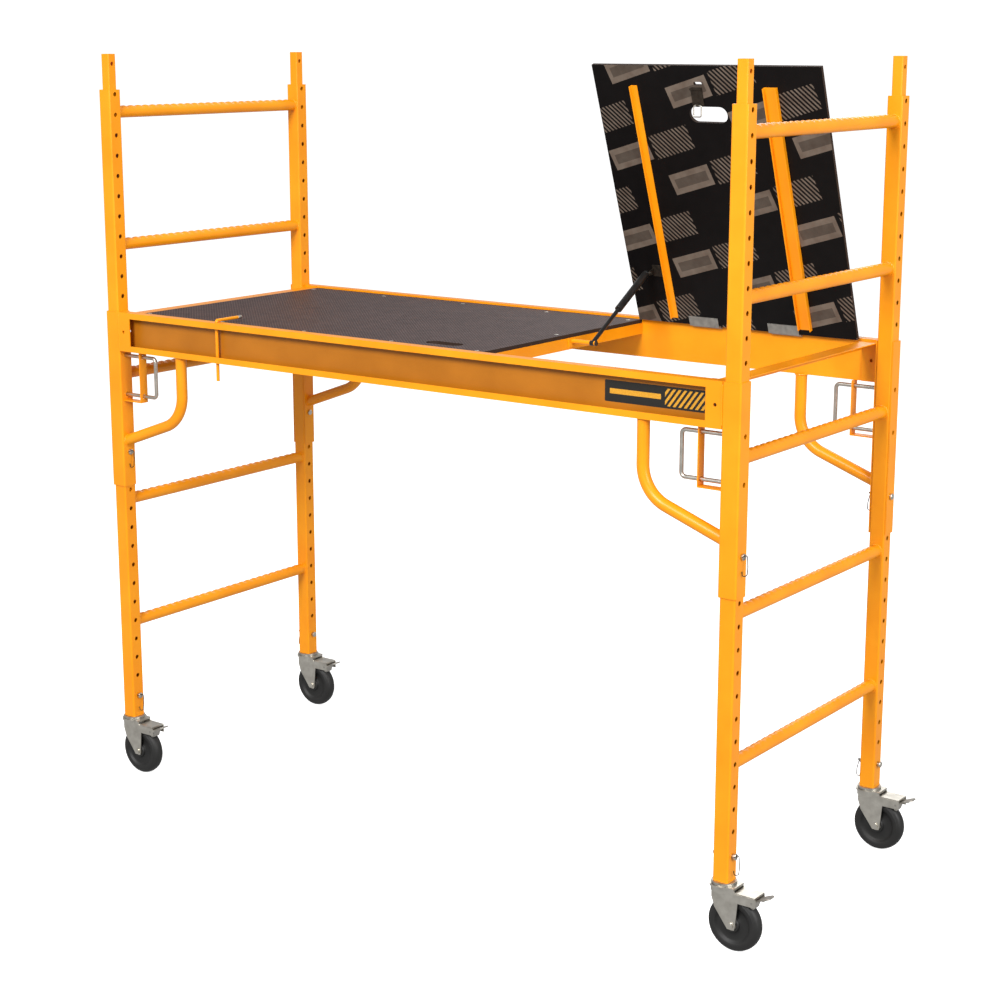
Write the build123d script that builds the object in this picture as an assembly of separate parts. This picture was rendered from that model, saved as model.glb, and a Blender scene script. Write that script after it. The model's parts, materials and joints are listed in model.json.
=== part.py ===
from build123d import *
import math
import os

# Baker scaffold: two ladder end frames on locking casters, joined by a height-adjustable
# platform with a fixed deck panel and a hinged hatch. Millimetres.
# +X runs along the length, +Y towards the hatch's hinge side, +Z up.
# The pieces are drawn about the floor point midway between the four posts. The frame's
# origin is the middle of the whole, casters and pedals included, so each piece is saved
# moved along X by FRAME_SHIFT.

FRAME_SHIFT = -40.83

# --- End frames -------------------------------------------------------------------------
POST_X = 911.0                  # post centre from the middle, along the length
POST_Y = 349.7                  # post centre from the middle, across the width
POST_SIZE = 38.1
POST_WALL = 2.0
POST_CORNER = 4.0
POST_TOP_Z = 1804.2
SPLICE_Z = 831.1                # upper frame stands on the lower frame here
POST_BOTTOM_Z = 155.7
HOLE_PITCH = 50.8
HOLE_D = 11.1
TOP_HOLE_Z = 1792.7
UPPER_HOLES = range(0, 19)      # steps below the top hole, upper frame
LOWER_HOLES = range(20, 31)     # and lower frame
RUNG_D = 28.6
RUNG_WALL = 2.0
TOP_RUNG_Z = 1747.7
RUNG_PITCH = 333.5
SPIGOT_SIZE = 25.4
SPIGOT_WALL = 2.5
SPIGOT_RISE = 88.0
SPIGOT_DEPTH = 70.0
SPIGOT_HOLE_RISE = 63.6
SPIGOT_HOLE_D = 10.0
COLLAR_T = 6.0                  # plate that centres a spigot in its post
CLEAR = 0.3                     # gap between pieces that slide or turn past each other

# --- Platform ---------------------------------------------------------------------------
RAIL_TOP_Z = 1246.0
RAIL_H = 100.0
RAIL_OUTER_Y = 372.0
RAIL_DEPTH = 25.0
RAIL_T = 2.5
RAIL_LIP = 15.0
LEDGE_W = 45.0
SLEEVE_T = 3.0
SLEEVE_CLEAR = 0.2
SLEEVE_LENGTH = 457.2
SLEEVE_LIP_Y = 332.0            # open edge of the sleeve, facing inwards
U_LOCK_HOLES = (13, 15)         # post holes that a U-lock enters
LOCK_PIN_HOLE = 18              # post hole that the sleeve's lock pin goes through
U_LOCK_D = 9.5
U_LOCK_HANDLE_X = 782.0
U_LOCK_TIP_X = 915.0
U_LOCK_BEND_R = 10.0
STRAP_X = 827.0
STRAP_T = 3.0
STRAP_W = 24.0
STRAP_BOTTOM_Z = 1014.0
LOCK_PIN_D = 9.5
PIN_HEAD_D = 15.0
PIN_HEAD_T = 6.0
PIN_REACH = 29.0
KEEPER_D = 2.0
PLATE_W = 39.5
PLATE_T = 3.0
PLATE_HOLE_D = 8.0
PLATE_HOLE_X = 872.0
BRACE_D = 28.0
BRACE_WALL = 2.0
BRACE_X = 688.0
BRACE_Y = 352.0
BRACE_BEND_Z = 983.5
BRACE_END_Z = 910.0
BRACE_BEND_R = 90.0
DECK_TOP_Z = 1241.0
DECK_T = 9.0
PANEL_LEFT_X = -845.0
PANEL_RIGHT_X = 239.0
MEMBER_W = 30.0
MEMBER_H = 28.0
MEMBER_WALL = 2.0
JOINT_MEMBER_X = 225.0
MID_MEMBER_X = -304.0
END_ANGLE_W = 42.0
END_ANGLE_H = 20.0
HAND_HOLE_L = 100.0
HAND_HOLE_W = 39.0
PANEL_HAND_HOLE = (90.0, -270.0)
SCREW_Y = 315.0
SCREW_XS = (217.0, -33.0, -304.0, -576.0, -832.0)
SCREW_HEAD_D = 11.0
SCREW_HEAD_T = 1.5
HOOK_D = 8.0                    # swivel rod in the front rail
HOOK_HOLE_D = 9.0
HOOK_X = -552.0
HOOK_Y = -360.0
HOOK_TOP_Z = 1251.0
HOOK_BOTTOM_Z = 1100.0
HOOK_REACH = 87.0
HOOK_COLLAR_D = 16.0

# --- Hatch ------------------------------------------------------------------------------
HATCH_LEFT_X = 241.0
HATCH_RIGHT_X = 842.0
HINGE_Y = 341.0
HINGE_Z = 1241.5
HATCH_BACK = 4.5                # hinge axis to the hatch's back edge
HATCH_LENGTH = 672.0            # hinge axis to the hatch's free edge
HATCH_OPEN = 70.0               # degrees, held open by the stay
HATCH_UNDER_Z = HINGE_Z - 9.2   # underside when closed
HINGE_XS = (430.0, 649.0)
HINGE_W = 82.0
KNUCKLE_D = 7.0
HINGE_PIN_D = 4.0
STIFFENER_S = (20.0, 623.0)     # stiffener ends, measured from the hinge axis
CHANNEL_X = 710.0
CHANNEL_W = 34.0
CHANNEL_H = 11.0
ANGLE_X = 349.5
ANGLE_W = 17.0
ANGLE_H = 11.0
STIFFENER_T = 2.5
HATCH_HAND_HOLE = (538.0, 554.0)    # x, and distance from the hinge axis
LEAF_T = 2.0
LEAF_REACH = 28.0
LATCH_X = 517.0
LATCH_SLOT = (629.0, 22.0, 8.0)     # distance from the hinge axis, length, width
PULL_D = 3.0
PULL_PIVOT = (579.0, 6.0)       # distance from the hinge axis, and below the hatch

# --- Hatch stay -------------------------------------------------------------------------
STAY_X = 300.0
STAY_LOW = (31.0, 1224.0)       # lower pivot, y and z
STAY_HATCH = (145.5, 27.0)      # upper pivot from the hinge axis, along and below the hatch
STAY_TUBE_D = 18.0
STAY_TUBE_L = 140.0
STAY_ROD_D = 10.0
STAY_ROD_L = 151.0
STAY_BORE_D = 10.16
STAY_CAP_T = 4.0
EYE_D = 12.0
EYE_T = 10.0
EYE_PIN_D = 6.0
EYE_BORE_D = 6.12

# --- Casters, sizes from the post's axis ------------------------------------------------
WHEEL_R = 63.5
WHEEL_W = 32.0
WHEEL_FACE_R = 54.0
HUB_W = 37.0
HUB_R = 17.0
TRAIL = 30.0
AXLE_D = 8.0
AXLE_BORE_D = 8.12
LEG_INNER = 19.0
LEG_T = 3.0
YOKE_TOP_Z = 149.2
YOKE_T = 5.0
YOKE_R = 32.0
RACE_R = 29.0                   # pressed cup round the swivel's balls
RACE_BOTTOM_Z = 133.0
KINGPIN_D = 12.0
KINGPIN_BORE_D = 12.16
CASTER_PIN_Z = 213.0
PEDAL_PIVOT = (80.0, 127.0)
PEDAL_PIN_D = 6.0
CAM_LEAN = 13.0
TONGUE_RISE = 21.0

CORNERS = {
    "front_left": (-1, -1),
    "front_right": (1, -1),
    "back_left": (-1, 1),
    "back_right": (1, 1),
}
ENDS = {"left": -1, "right": 1}


def block(x0, x1, y0, y1, z0, z1):
    """A box between two corners, given in any order."""
    size = (abs(x1 - x0), abs(y1 - y0), abs(z1 - z0))
    return Pos((x0 + x1) / 2, (y0 + y1) / 2, (z0 + z1) / 2) * Box(*size)


def rod_x(x0, x1, y, z, diameter):
    """A round bar along X."""
    bar = Cylinder(diameter / 2, abs(x1 - x0))
    return Pos((x0 + x1) / 2, y, z) * Rot(0, 90, 0) * bar


def rod_y(x, y0, y1, z, diameter):
    """A round bar along Y."""
    bar = Cylinder(diameter / 2, abs(y1 - y0))
    return Pos(x, (y0 + y1) / 2, z) * Rot(90, 0, 0) * bar


def rod_z(x, y, z0, z1, diameter):
    """A round bar along Z."""
    return Pos(x, y, (z0 + z1) / 2) * Cylinder(diameter / 2, abs(z1 - z0))


def hole_z(step):
    """Height of a post hole, counted in steps below the top hole."""
    return TOP_HOLE_Z - step * HOLE_PITCH


def square_tube(x, y, z0, z1, size, wall, corner):
    """An upright square tube with rounded corners."""
    outer = RectangleRounded(size, size, corner)
    inner = RectangleRounded(size - 2 * wall, size - 2 * wall, corner - wall)
    return Pos(x, y, z0) * extrude(outer - inner, z1 - z0)


def bent_bar(points, bend, diameter, wall=0.0):
    """A round bar or tube along straight runs with bends of one radius."""
    path = FilletPolyline(*points, radius=bend)
    start = Plane(origin=path @ 0, z_dir=path % 0)
    bar = sweep(start * Circle(diameter / 2), path=path)
    if wall:
        bar -= sweep(start * Circle(diameter / 2 - wall), path=path)
    return bar


def save(node, *solids):
    """Write one node; a node of several pieces keeps them as separate solids."""
    flat = [Pos(FRAME_SHIFT, 0, 0) * solid for piece in solids for solid in piece.solids()]
    shape = flat[0] if len(flat) == 1 else Compound(children=flat)
    export_step(shape, f"parts/{node}.step")


# --- End frames -------------------------------------------------------------------------
def post(sx, sy, z0, z1, hole_heights):
    """Square tube post with adjustment holes through both end faces."""
    x = sx * POST_X
    y = sy * POST_Y
    tube = square_tube(x, y, z0, z1, POST_SIZE, POST_WALL, POST_CORNER)
    for height in hole_heights:
        tube -= rod_x(x - POST_SIZE, x + POST_SIZE, y, height, HOLE_D)
    return tube


def rung(sx, z):
    """Round tube welded between the two posts of one end."""
    reach = POST_Y - POST_SIZE / 2
    tube = rod_y(sx * POST_X, -reach, reach, z, RUNG_D)
    return tube - rod_y(sx * POST_X, -reach, reach, z, RUNG_D - 2 * RUNG_WALL)


def spigot(sx, sy, base_z, hole_rise):
    """Square stacking tube that stands out of a post's top, centred by two collars."""
    x = sx * POST_X
    y = sy * POST_Y
    bottom = base_z - SPIGOT_DEPTH
    tube = square_tube(x, y, bottom, base_z + SPIGOT_RISE, SPIGOT_SIZE, SPIGOT_WALL, 3.0)
    collar_size = POST_SIZE - 2 * POST_WALL
    for z0 in (bottom, base_z - COLLAR_T):
        tube += square_tube(x, y, z0, z0 + COLLAR_T, collar_size, (collar_size - SPIGOT_SIZE) / 2 + 1, 6.5)
    tube -= rod_x(x - SPIGOT_SIZE, x + SPIGOT_SIZE, y, base_z + hole_rise, SPIGOT_HOLE_D)
    for step in UPPER_HOLES:
        depth = base_z - hole_z(step)
        if 0 < depth < SPIGOT_DEPTH:
            tube -= rod_x(x - POST_SIZE, x + POST_SIZE, y, hole_z(step), HOLE_D)
    return tube


def build_end_frames():
    upper_heights = [hole_z(step) for step in UPPER_HOLES]
    lower_heights = [hole_z(step) for step in LOWER_HOLES] + [CASTER_PIN_Z]
    pin_rise = hole_z(LOCK_PIN_HOLE) - SPLICE_Z
    for name, (sx, sy) in CORNERS.items():
        save(f"upper_post_{name}", post(sx, sy, SPLICE_Z, POST_TOP_Z, upper_heights))
        save(f"lower_post_{name}", post(sx, sy, POST_BOTTOM_Z, SPLICE_Z, lower_heights))
    for name, sx in ENDS.items():
        save(f"upper_rungs_{name}", *[rung(sx, TOP_RUNG_Z - step * RUNG_PITCH) for step in (0, 1, 2)])
        save(f"lower_rungs_{name}", *[rung(sx, TOP_RUNG_Z - step * RUNG_PITCH) for step in (3, 4)])
    save("top_spigots", *[spigot(sx, sy, POST_TOP_Z, SPIGOT_HOLE_RISE) for sx, sy in CORNERS.values()])
    save("splice_spigots", *[spigot(sx, sy, SPLICE_Z, pin_rise) for sx, sy in CORNERS.values()])


# --- Platform frame ---------------------------------------------------------------------
def rail(sy):
    """Lipped C-channel, open outwards."""
    reach = POST_X - POST_SIZE / 2 - SLEEVE_CLEAR - SLEEVE_T
    inner = RAIL_OUTER_Y - RAIL_DEPTH
    bottom = RAIL_TOP_Z - RAIL_H
    channel = block(-reach, reach, sy * inner, sy * (inner + RAIL_T), bottom, RAIL_TOP_Z)
    for z0, z1 in ((bottom, bottom + RAIL_T), (RAIL_TOP_Z - RAIL_T, RAIL_TOP_Z)):
        channel += block(-reach, reach, sy * inner, sy * RAIL_OUTER_Y, z0, z1)
    for z0, z1 in ((bottom, bottom + RAIL_LIP), (RAIL_TOP_Z - RAIL_LIP, RAIL_TOP_Z)):
        channel += block(-reach, reach, sy * (RAIL_OUTER_Y - RAIL_T), sy * RAIL_OUTER_Y, z0, z1)
    for sx in (-1, 1):
        mouth = sx * (reach - PLATE_W)
        near = sy * (RAIL_OUTER_Y - PLATE_T)
        channel -= block(mouth, sx * reach, near, sy * RAIL_OUTER_Y, bottom, RAIL_TOP_Z)
        channel -= rod_y(sx * PLATE_HOLE_X, sy * inner, sy * RAIL_OUTER_Y, bottom + RAIL_H / 2, PLATE_HOLE_D)
    return channel


def deck_ledges():
    """Flat bars welded along the rails' inner sides, between the cross members."""
    inner = RAIL_OUTER_Y - RAIL_DEPTH
    top = DECK_TOP_Z - DECK_T
    half = MEMBER_W / 2 + CLEAR
    left_bay = (PANEL_LEFT_X, MID_MEMBER_X - half)
    middle_bay = (MID_MEMBER_X + half, JOINT_MEMBER_X - half)
    hatch_bay = (JOINT_MEMBER_X + half, HATCH_RIGHT_X + 2)
    ledges = []
    for sy, bays in ((-1, (left_bay, middle_bay, hatch_bay)), (1, (left_bay, middle_bay))):
        for x0, x1 in bays:
            ledges.append(block(x0, x1, sy * (inner - LEDGE_W), sy * inner, top - RAIL_T, top))
    return ledges


def hook_rod_holes(solid):
    """Holes through the front rail's flanges for the swivel hook rod."""
    return solid - rod_z(HOOK_X, HOOK_Y, RAIL_TOP_Z - RAIL_H, RAIL_TOP_Z, HOOK_HOLE_D)


def end_plates():
    """Plates that close each rail end: one across its open mouth, one behind its web."""
    reach = POST_X - POST_SIZE / 2 - SLEEVE_CLEAR - SLEEVE_T
    bottom = RAIL_TOP_Z - RAIL_H
    inner = RAIL_OUTER_Y - RAIL_DEPTH
    plates = []
    for sx, sy in CORNERS.values():
        for y0, y1 in ((RAIL_OUTER_Y - PLATE_T, RAIL_OUTER_Y), (inner - PLATE_T, inner)):
            plate = block(sx * (reach - PLATE_W), sx * reach, sy * y0, sy * y1, bottom, RAIL_TOP_Z)
            plate -= rod_y(sx * PLATE_HOLE_X, sy * y0, sy * y1, bottom + RAIL_H / 2, PLATE_HOLE_D)
            plates.append(plate)
    return plates


def sleeve(sx, sy):
    """U-shaped steel sleeve that slides on the post's outer side and is open inwards."""
    x = sx * POST_X
    gap = POST_SIZE / 2 + SLEEVE_CLEAR
    outer = gap + SLEEVE_T
    wall_y = POST_Y + gap
    z1 = RAIL_TOP_Z
    z0 = z1 - SLEEVE_LENGTH
    body = block(x - outer, x + outer, sy * SLEEVE_LIP_Y, sy * (wall_y + SLEEVE_T), z0, z1)
    edges = body.edges().filter_by(Axis.Z).sort_by(Axis.Y)
    body = fillet(edges[-2:] if sy > 0 else edges[:2], 4.0)
    body -= block(x - gap, x + gap, sy * SLEEVE_LIP_Y, sy * wall_y, z0, z1)
    for step in U_LOCK_HOLES + (LOCK_PIN_HOLE,):
        body -= rod_x(x - outer, x + outer, sy * POST_Y, hole_z(step), HOLE_D)
    return body


def knee_brace(sx, sy):
    """Bent round tube from the rail's underside to the sleeve."""
    end_x = POST_X - POST_SIZE / 2 - SLEEVE_CLEAR - SLEEVE_T
    top = (sx * BRACE_X, sy * BRACE_Y, RAIL_TOP_Z - RAIL_H)
    bend = (sx * BRACE_X, sy * BRACE_Y, BRACE_BEND_Z)
    slope = (BRACE_END_Z - BRACE_BEND_Z) / (end_x - BRACE_X)
    overrun = 12.0
    end = (sx * (end_x + overrun), sy * BRACE_Y, BRACE_END_Z + slope * overrun)
    tube = bent_bar([top, bend, end], BRACE_BEND_R, BRACE_D, BRACE_WALL)
    beyond = 60.0
    return tube - block(sx * end_x, sx * (end_x + beyond), sy * 300, sy * 420, 800, 1100)


def u_lock(sx, sy):
    """Bent round bar with two prongs that go through the sleeve into the post."""
    high, low = (hole_z(step) for step in U_LOCK_HOLES)
    y = sy * POST_Y
    points = [
        (sx * U_LOCK_TIP_X, y, high),
        (sx * U_LOCK_HANDLE_X, y, high),
        (sx * U_LOCK_HANDLE_X, y, low),
        (sx * U_LOCK_TIP_X, y, low),
    ]
    return bent_bar(points, U_LOCK_BEND_R, U_LOCK_D)


def lock_strap(sx, sy):
    """Flat bar under the rail that guides the U-lock, bent over to the sleeve."""
    end_x = POST_X - POST_SIZE / 2 - SLEEVE_CLEAR - SLEEVE_T
    y0 = sy * (POST_Y - STRAP_W / 2)
    y1 = sy * (POST_Y + STRAP_W / 2)
    strap = block(sx * STRAP_X, sx * (STRAP_X + STRAP_T), y0, y1, STRAP_BOTTOM_Z, RAIL_TOP_Z - RAIL_H)
    strap += block(sx * STRAP_X, sx * end_x, y0, y1, STRAP_BOTTOM_Z, STRAP_BOTTOM_Z + STRAP_T)
    for step in U_LOCK_HOLES:
        strap -= rod_x(sx * (STRAP_X - 5), sx * (STRAP_X + 10), sy * POST_Y, hole_z(step), HOLE_D)
    return strap


def cross_members():
    """Tubes under the deck and angles across both ends of the platform."""
    inner = RAIL_OUTER_Y - RAIL_DEPTH
    top = DECK_TOP_Z - DECK_T
    members = []
    for x in (MID_MEMBER_X, JOINT_MEMBER_X):
        tube = block(x - MEMBER_W / 2, x + MEMBER_W / 2, -inner, inner, top - MEMBER_H, top)
        tube -= block(
            x - MEMBER_W / 2 + MEMBER_WALL, x + MEMBER_W / 2 - MEMBER_WALL,
            -inner, inner, top - MEMBER_H + MEMBER_WALL, top - MEMBER_WALL,
        )
        members.append(tube)
    near = PANEL_LEFT_X - 1
    far = near - END_ANGLE_W
    for sx in (-1, 1):
        across = inner - PLATE_T
        x0 = sx * abs(near)
        angle = block(x0, sx * abs(far), -across, across, DECK_TOP_Z - RAIL_T - 1, DECK_TOP_Z - 1)
        angle += block(x0, x0 + sx * RAIL_T, -across, across, DECK_TOP_Z - 1 - END_ANGLE_H, DECK_TOP_Z - 1)
        members.append(angle)
    return members


def obround_hole(x, y, z, length, width, depth):
    """Cutter for a hand hole with round ends."""
    return Pos(x, y, z) * extrude(SlotOverall(length, width), depth / 2, both=True)


def deck_panel():
    """Film-faced plywood panel between the rails, with a hand hole."""
    gap = 1.0
    inner = RAIL_OUTER_Y - RAIL_DEPTH - gap
    panel = block(PANEL_LEFT_X, PANEL_RIGHT_X, -inner, inner, DECK_TOP_Z - DECK_T, DECK_TOP_Z)
    panel -= obround_hole(*PANEL_HAND_HOLE, DECK_TOP_Z, HAND_HOLE_L, HAND_HOLE_W, 4 * DECK_T)
    for x, y in screw_places():
        panel -= rod_z(x, y, DECK_TOP_Z - SCREW_HEAD_T, DECK_TOP_Z, SCREW_HEAD_D)
    return panel


def screw_places():
    places = [(x, sy * SCREW_Y) for x in SCREW_XS for sy in (-1, 1)]
    return places + [(SCREW_XS[0], 0.0)]


def deck_screws():
    """Countersunk screw heads let into the panel."""
    screws = []
    for x, y in screw_places():
        screws.append(rod_z(x, y, DECK_TOP_Z - SCREW_HEAD_T, DECK_TOP_Z + 0.2, SCREW_HEAD_D))
    return screws


def lock_pin(x, y, z, sy):
    """Round pin along X with a head on the +X side and a hanging wire keeper."""
    pin = rod_x(x - PIN_REACH, x + PIN_REACH, y, z, LOCK_PIN_D)
    pin += rod_x(x + PIN_REACH - PIN_HEAD_T, x + PIN_REACH, y, z, PIN_HEAD_D)
    side = 1 if sy < 0 else -1
    start = x + side * (PIN_REACH + KEEPER_D / 2)
    out = x + side * (PIN_REACH + 7)
    wire = bent_bar([
        (start, y + 6, z),
        (start, y, z),
        (out, y, z - 40),
        (x + side * (PIN_REACH - 3), y - 3, z - 41),
    ], 1.8, KEEPER_D)
    return [pin, wire]


def lock_pins():
    pins = []
    for sx, sy in CORNERS.values():
        for z in (hole_z(LOCK_PIN_HOLE), CASTER_PIN_Z):
            pins += lock_pin(sx * POST_X, sy * POST_Y, z, sy)
    return pins


def hook_rod():
    """L-shaped rod that swivels in the front rail; its short leg lies over the deck."""
    points = [
        (HOOK_X, HOOK_Y, HOOK_BOTTOM_Z),
        (HOOK_X, HOOK_Y, HOOK_TOP_Z),
        (HOOK_X, HOOK_Y + HOOK_REACH, HOOK_TOP_Z),
    ]
    rod = bent_bar(points, 3.9, HOOK_D)
    floor_z = RAIL_TOP_Z - RAIL_H + RAIL_T
    return rod + rod_z(HOOK_X, HOOK_Y, floor_z + CLEAR, floor_z + CLEAR + 8, HOOK_COLLAR_D)


def build_platform():
    save("front_rail", hook_rod_holes(rail(-1)))
    save("back_rail", rail(1))
    save("deck_ledges", *deck_ledges())
    save("end_plates", *end_plates())
    for name, (sx, sy) in CORNERS.items():
        save(f"sleeve_{name}", sleeve(sx, sy))
        save(f"knee_brace_{name}", knee_brace(sx, sy))
        save(f"u_lock_{name}", u_lock(sx, sy))
    save("lock_straps", *[lock_strap(sx, sy) for sx, sy in CORNERS.values()])
    save("cross_members", *cross_members())
    save("deck_panel", deck_panel())
    save("deck_screws", *deck_screws())
    save("lock_pins", *lock_pins())
    save("hook_rod", hook_rod())


# --- Hatch, drawn closed and then turned open about its hinge -----------------------------
def opened(solid):
    """Turn a piece drawn with the hatch closed to the hatch's open rest position."""
    return solid.rotate(Axis((0, HINGE_Y, HINGE_Z), (1, 0, 0)), -HATCH_OPEN)


def from_hinge(distance):
    """Y of a point that lies this far along the closed hatch from its hinge axis."""
    return HINGE_Y - distance


def hatch_panel():
    """Plywood hatch with an oblong hand hole and a latch slot."""
    y0 = from_hinge(HATCH_LENGTH)
    y1 = from_hinge(HATCH_BACK)
    top = HATCH_UNDER_Z + DECK_T
    panel = block(HATCH_LEFT_X, HATCH_RIGHT_X, y0, y1, HATCH_UNDER_Z, top)
    hand_x, hand_s = HATCH_HAND_HOLE
    slot_s, slot_l, slot_w = LATCH_SLOT
    panel -= obround_hole(hand_x, from_hinge(hand_s), top, HAND_HOLE_L, HAND_HOLE_W, 4 * DECK_T)
    panel -= obround_hole(LATCH_X + 5, from_hinge(slot_s), top, slot_l, slot_w, 4 * DECK_T)
    return opened(panel)


def hatch_stiffeners():
    """A channel and an angle screwed under the hatch from its hinge side to its front."""
    start, end = STIFFENER_S
    y0 = from_hinge(end)
    y1 = from_hinge(start)
    top = HATCH_UNDER_Z
    channel = block(CHANNEL_X - CHANNEL_W / 2, CHANNEL_X + CHANNEL_W / 2, y0, y1, top - CHANNEL_H, top)
    channel -= block(
        CHANNEL_X - CHANNEL_W / 2 + STIFFENER_T, CHANNEL_X + CHANNEL_W / 2 - STIFFENER_T,
        y0, y1, top - CHANNEL_H, top - STIFFENER_T,
    )
    angle = block(ANGLE_X - ANGLE_W / 2, ANGLE_X + ANGLE_W / 2, y0, y1, top - STIFFENER_T, top)
    angle += block(ANGLE_X - ANGLE_W / 2, ANGLE_X - ANGLE_W / 2 + STIFFENER_T, y0, y1, top - ANGLE_H, top)
    return opened(channel), opened(angle)


def moving_leaf(x):
    """Hinge leaf that wraps the hatch's back edge, with the middle knuckle."""
    half = HINGE_W / 2
    knuckle = rod_x(x - half / 3, x + half / 3, HINGE_Y, HINGE_Z, KNUCKLE_D)
    back = from_hinge(HATCH_BACK)
    under = HATCH_UNDER_Z
    leaf = block(x - half, x + half, from_hinge(LEAF_REACH), back + LEAF_T, under - LEAF_T, under)
    leaf += block(x - half / 3, x + half / 3, back, back + LEAF_T, under - LEAF_T, HINGE_Z)
    leaf += block(x - half, x + half, back, back + LEAF_T, under - LEAF_T, under + 4)
    leaf += knuckle
    return opened(leaf - rod_x(x - half, x + half, HINGE_Y, HINGE_Z, HINGE_PIN_D + 0.16))


def fixed_leaf(x):
    """Hinge leaf on the back rail's web, with the outer knuckles and the pin."""
    half = HINGE_W / 2
    web = RAIL_OUTER_Y - RAIL_DEPTH
    gap = 0.5
    leaf = block(x - half, x + half, web - LEAF_T, web, HINGE_Z - 5.5, HINGE_Z + KNUCKLE_D / 2 - 0.5)
    leaf += rod_x(x - half, x - half / 3 - gap, HINGE_Y, HINGE_Z, KNUCKLE_D)
    leaf += rod_x(x + half / 3 + gap, x + half, HINGE_Y, HINGE_Z, KNUCKLE_D)
    for x0, x1 in ((x - half, x - half / 3 - gap), (x + half / 3 + gap, x + half)):
        leaf += block(x0, x1, HINGE_Y, web, HINGE_Z + 0.5, HINGE_Z + 3.0)
    return leaf + rod_x(x - half, x + half, HINGE_Y, HINGE_Z, HINGE_PIN_D)


def latch_plate():
    """Pressed steel latch plate riveted under the hatch beside its hand hole."""
    x0 = LATCH_X - 15
    x1 = LATCH_X + 15
    under = HATCH_UNDER_Z
    plate = block(x0, x1, from_hinge(620), from_hinge(577), under - 3, under)
    plate += block(x0, x1, from_hinge(620), from_hinge(616), under - 7, under)
    lug_s, lug_drop = PULL_PIVOT
    y = from_hinge(lug_s)
    lug = rod_x(LATCH_X - 3, LATCH_X + 3, y, under - lug_drop, 7.0)
    lug += block(LATCH_X - 3, LATCH_X + 3, y - 3.5, y + 3.5, under - lug_drop, under)
    lug -= rod_x(LATCH_X - 3, LATCH_X + 3, y, under - lug_drop, PULL_D + 0.16)
    return opened(plate + lug)


def latch_pull():
    """Wire pull loop that swings on the latch plate's lug and hangs straight down."""
    lug_s, lug_drop = PULL_PIVOT
    y = from_hinge(lug_s)
    z = HATCH_UNDER_Z - lug_drop
    end_gap = 0.5
    half = 10.0
    drop = 26.0
    loop = bent_bar([
        (LATCH_X + end_gap, y, z),
        (LATCH_X + half, y, z),
        (LATCH_X + half, y + drop, z),
        (LATCH_X - half, y + drop, z),
        (LATCH_X - half, y, z),
        (LATCH_X - end_gap, y, z),
    ], 4.0, PULL_D)
    hang = 90 - HATCH_OPEN
    return opened(loop.rotate(Axis((LATCH_X, y, z), (1, 0, 0)), -hang))


def stay_hatch_bracket():
    """Small angle under the hatch that carries the stay's upper end."""
    reach, drop = STAY_HATCH
    y = from_hinge(reach)
    z = HINGE_Z - drop
    x0 = STAY_X + STAY_TUBE_D / 2 + CLEAR
    ear = rod_x(x0, x0 + 3, y, z, EYE_D)
    ear += block(x0, x0 + 3, y - EYE_D / 2, y + EYE_D / 2, z, HATCH_UNDER_Z)
    base = block(x0, x0 + 26, y - 15, y + 15, HATCH_UNDER_Z - 3, HATCH_UNDER_Z)
    rivet = rod_x(x0 + 3, x0 + 6, y, z, 8.0)
    return opened(ear + base + rivet)


def build_hatch():
    save("hatch_panel", hatch_panel())
    save("hatch_stiffeners", *hatch_stiffeners())
    save("hinge_moving_leaves", *[moving_leaf(x) for x in HINGE_XS])
    save("hinge_fixed_leaves", *[fixed_leaf(x) for x in HINGE_XS])
    save("latch_plate", latch_plate())
    save("latch_pull", latch_pull())
    save("stay_hatch_bracket", stay_hatch_bracket())


# --- Hatch stay, drawn along its own axis and then placed --------------------------------
def stay_upper_pivot():
    """Y and Z of the stay's upper pivot with the hatch open."""
    reach, drop = STAY_HATCH
    angle = math.radians(HATCH_OPEN)
    y = HINGE_Y - reach * math.cos(angle) - drop * math.sin(angle)
    z = HINGE_Z + reach * math.sin(angle) - drop * math.cos(angle)
    return y, z


def stay_placed(solid):
    """Move a piece drawn along +Y from the lower pivot onto the stay's line."""
    low_y, low_z = STAY_LOW
    up_y, up_z = stay_upper_pivot()
    lean = math.degrees(math.atan2(up_z - low_z, up_y - low_y))
    return Pos(STAY_X, low_y, low_z) * Rot(lean, 0, 0) * solid


def eye(y, bore):
    ring = rod_x(-EYE_T / 2, EYE_T / 2, y, 0, EYE_D)
    return ring - rod_x(-EYE_T, EYE_T, y, 0, bore)


def stay_rod():
    """Polished rod with the lower eye, which pivots on the frame's stud."""
    rod = rod_y(0, EYE_D / 2 - 1, STAY_ROD_L, 0, STAY_ROD_D)
    return stay_placed(eye(0, EYE_BORE_D) + rod)


def stay_tube():
    """Black cylinder that slides over the rod, with the upper eye."""
    up_y, up_z = stay_upper_pivot()
    length = math.hypot(up_y - STAY_LOW[0], up_z - STAY_LOW[1])
    end = length - EYE_D / 2 - 0.5
    tube = rod_y(0, end - STAY_TUBE_L, end, 0, STAY_TUBE_D)
    neck = rod_y(0, end - 1, length, 0, EYE_T - 1)
    upper_eye = rod_x(-EYE_T / 2, EYE_T / 2, length, 0, EYE_D)
    pivot = rod_x(0, STAY_TUBE_D / 2, length, 0, EYE_PIN_D)
    bore = rod_y(0, end - STAY_TUBE_L, end - STAY_CAP_T, 0, STAY_BORE_D)
    return stay_placed(tube + neck + upper_eye + pivot - bore)


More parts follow.
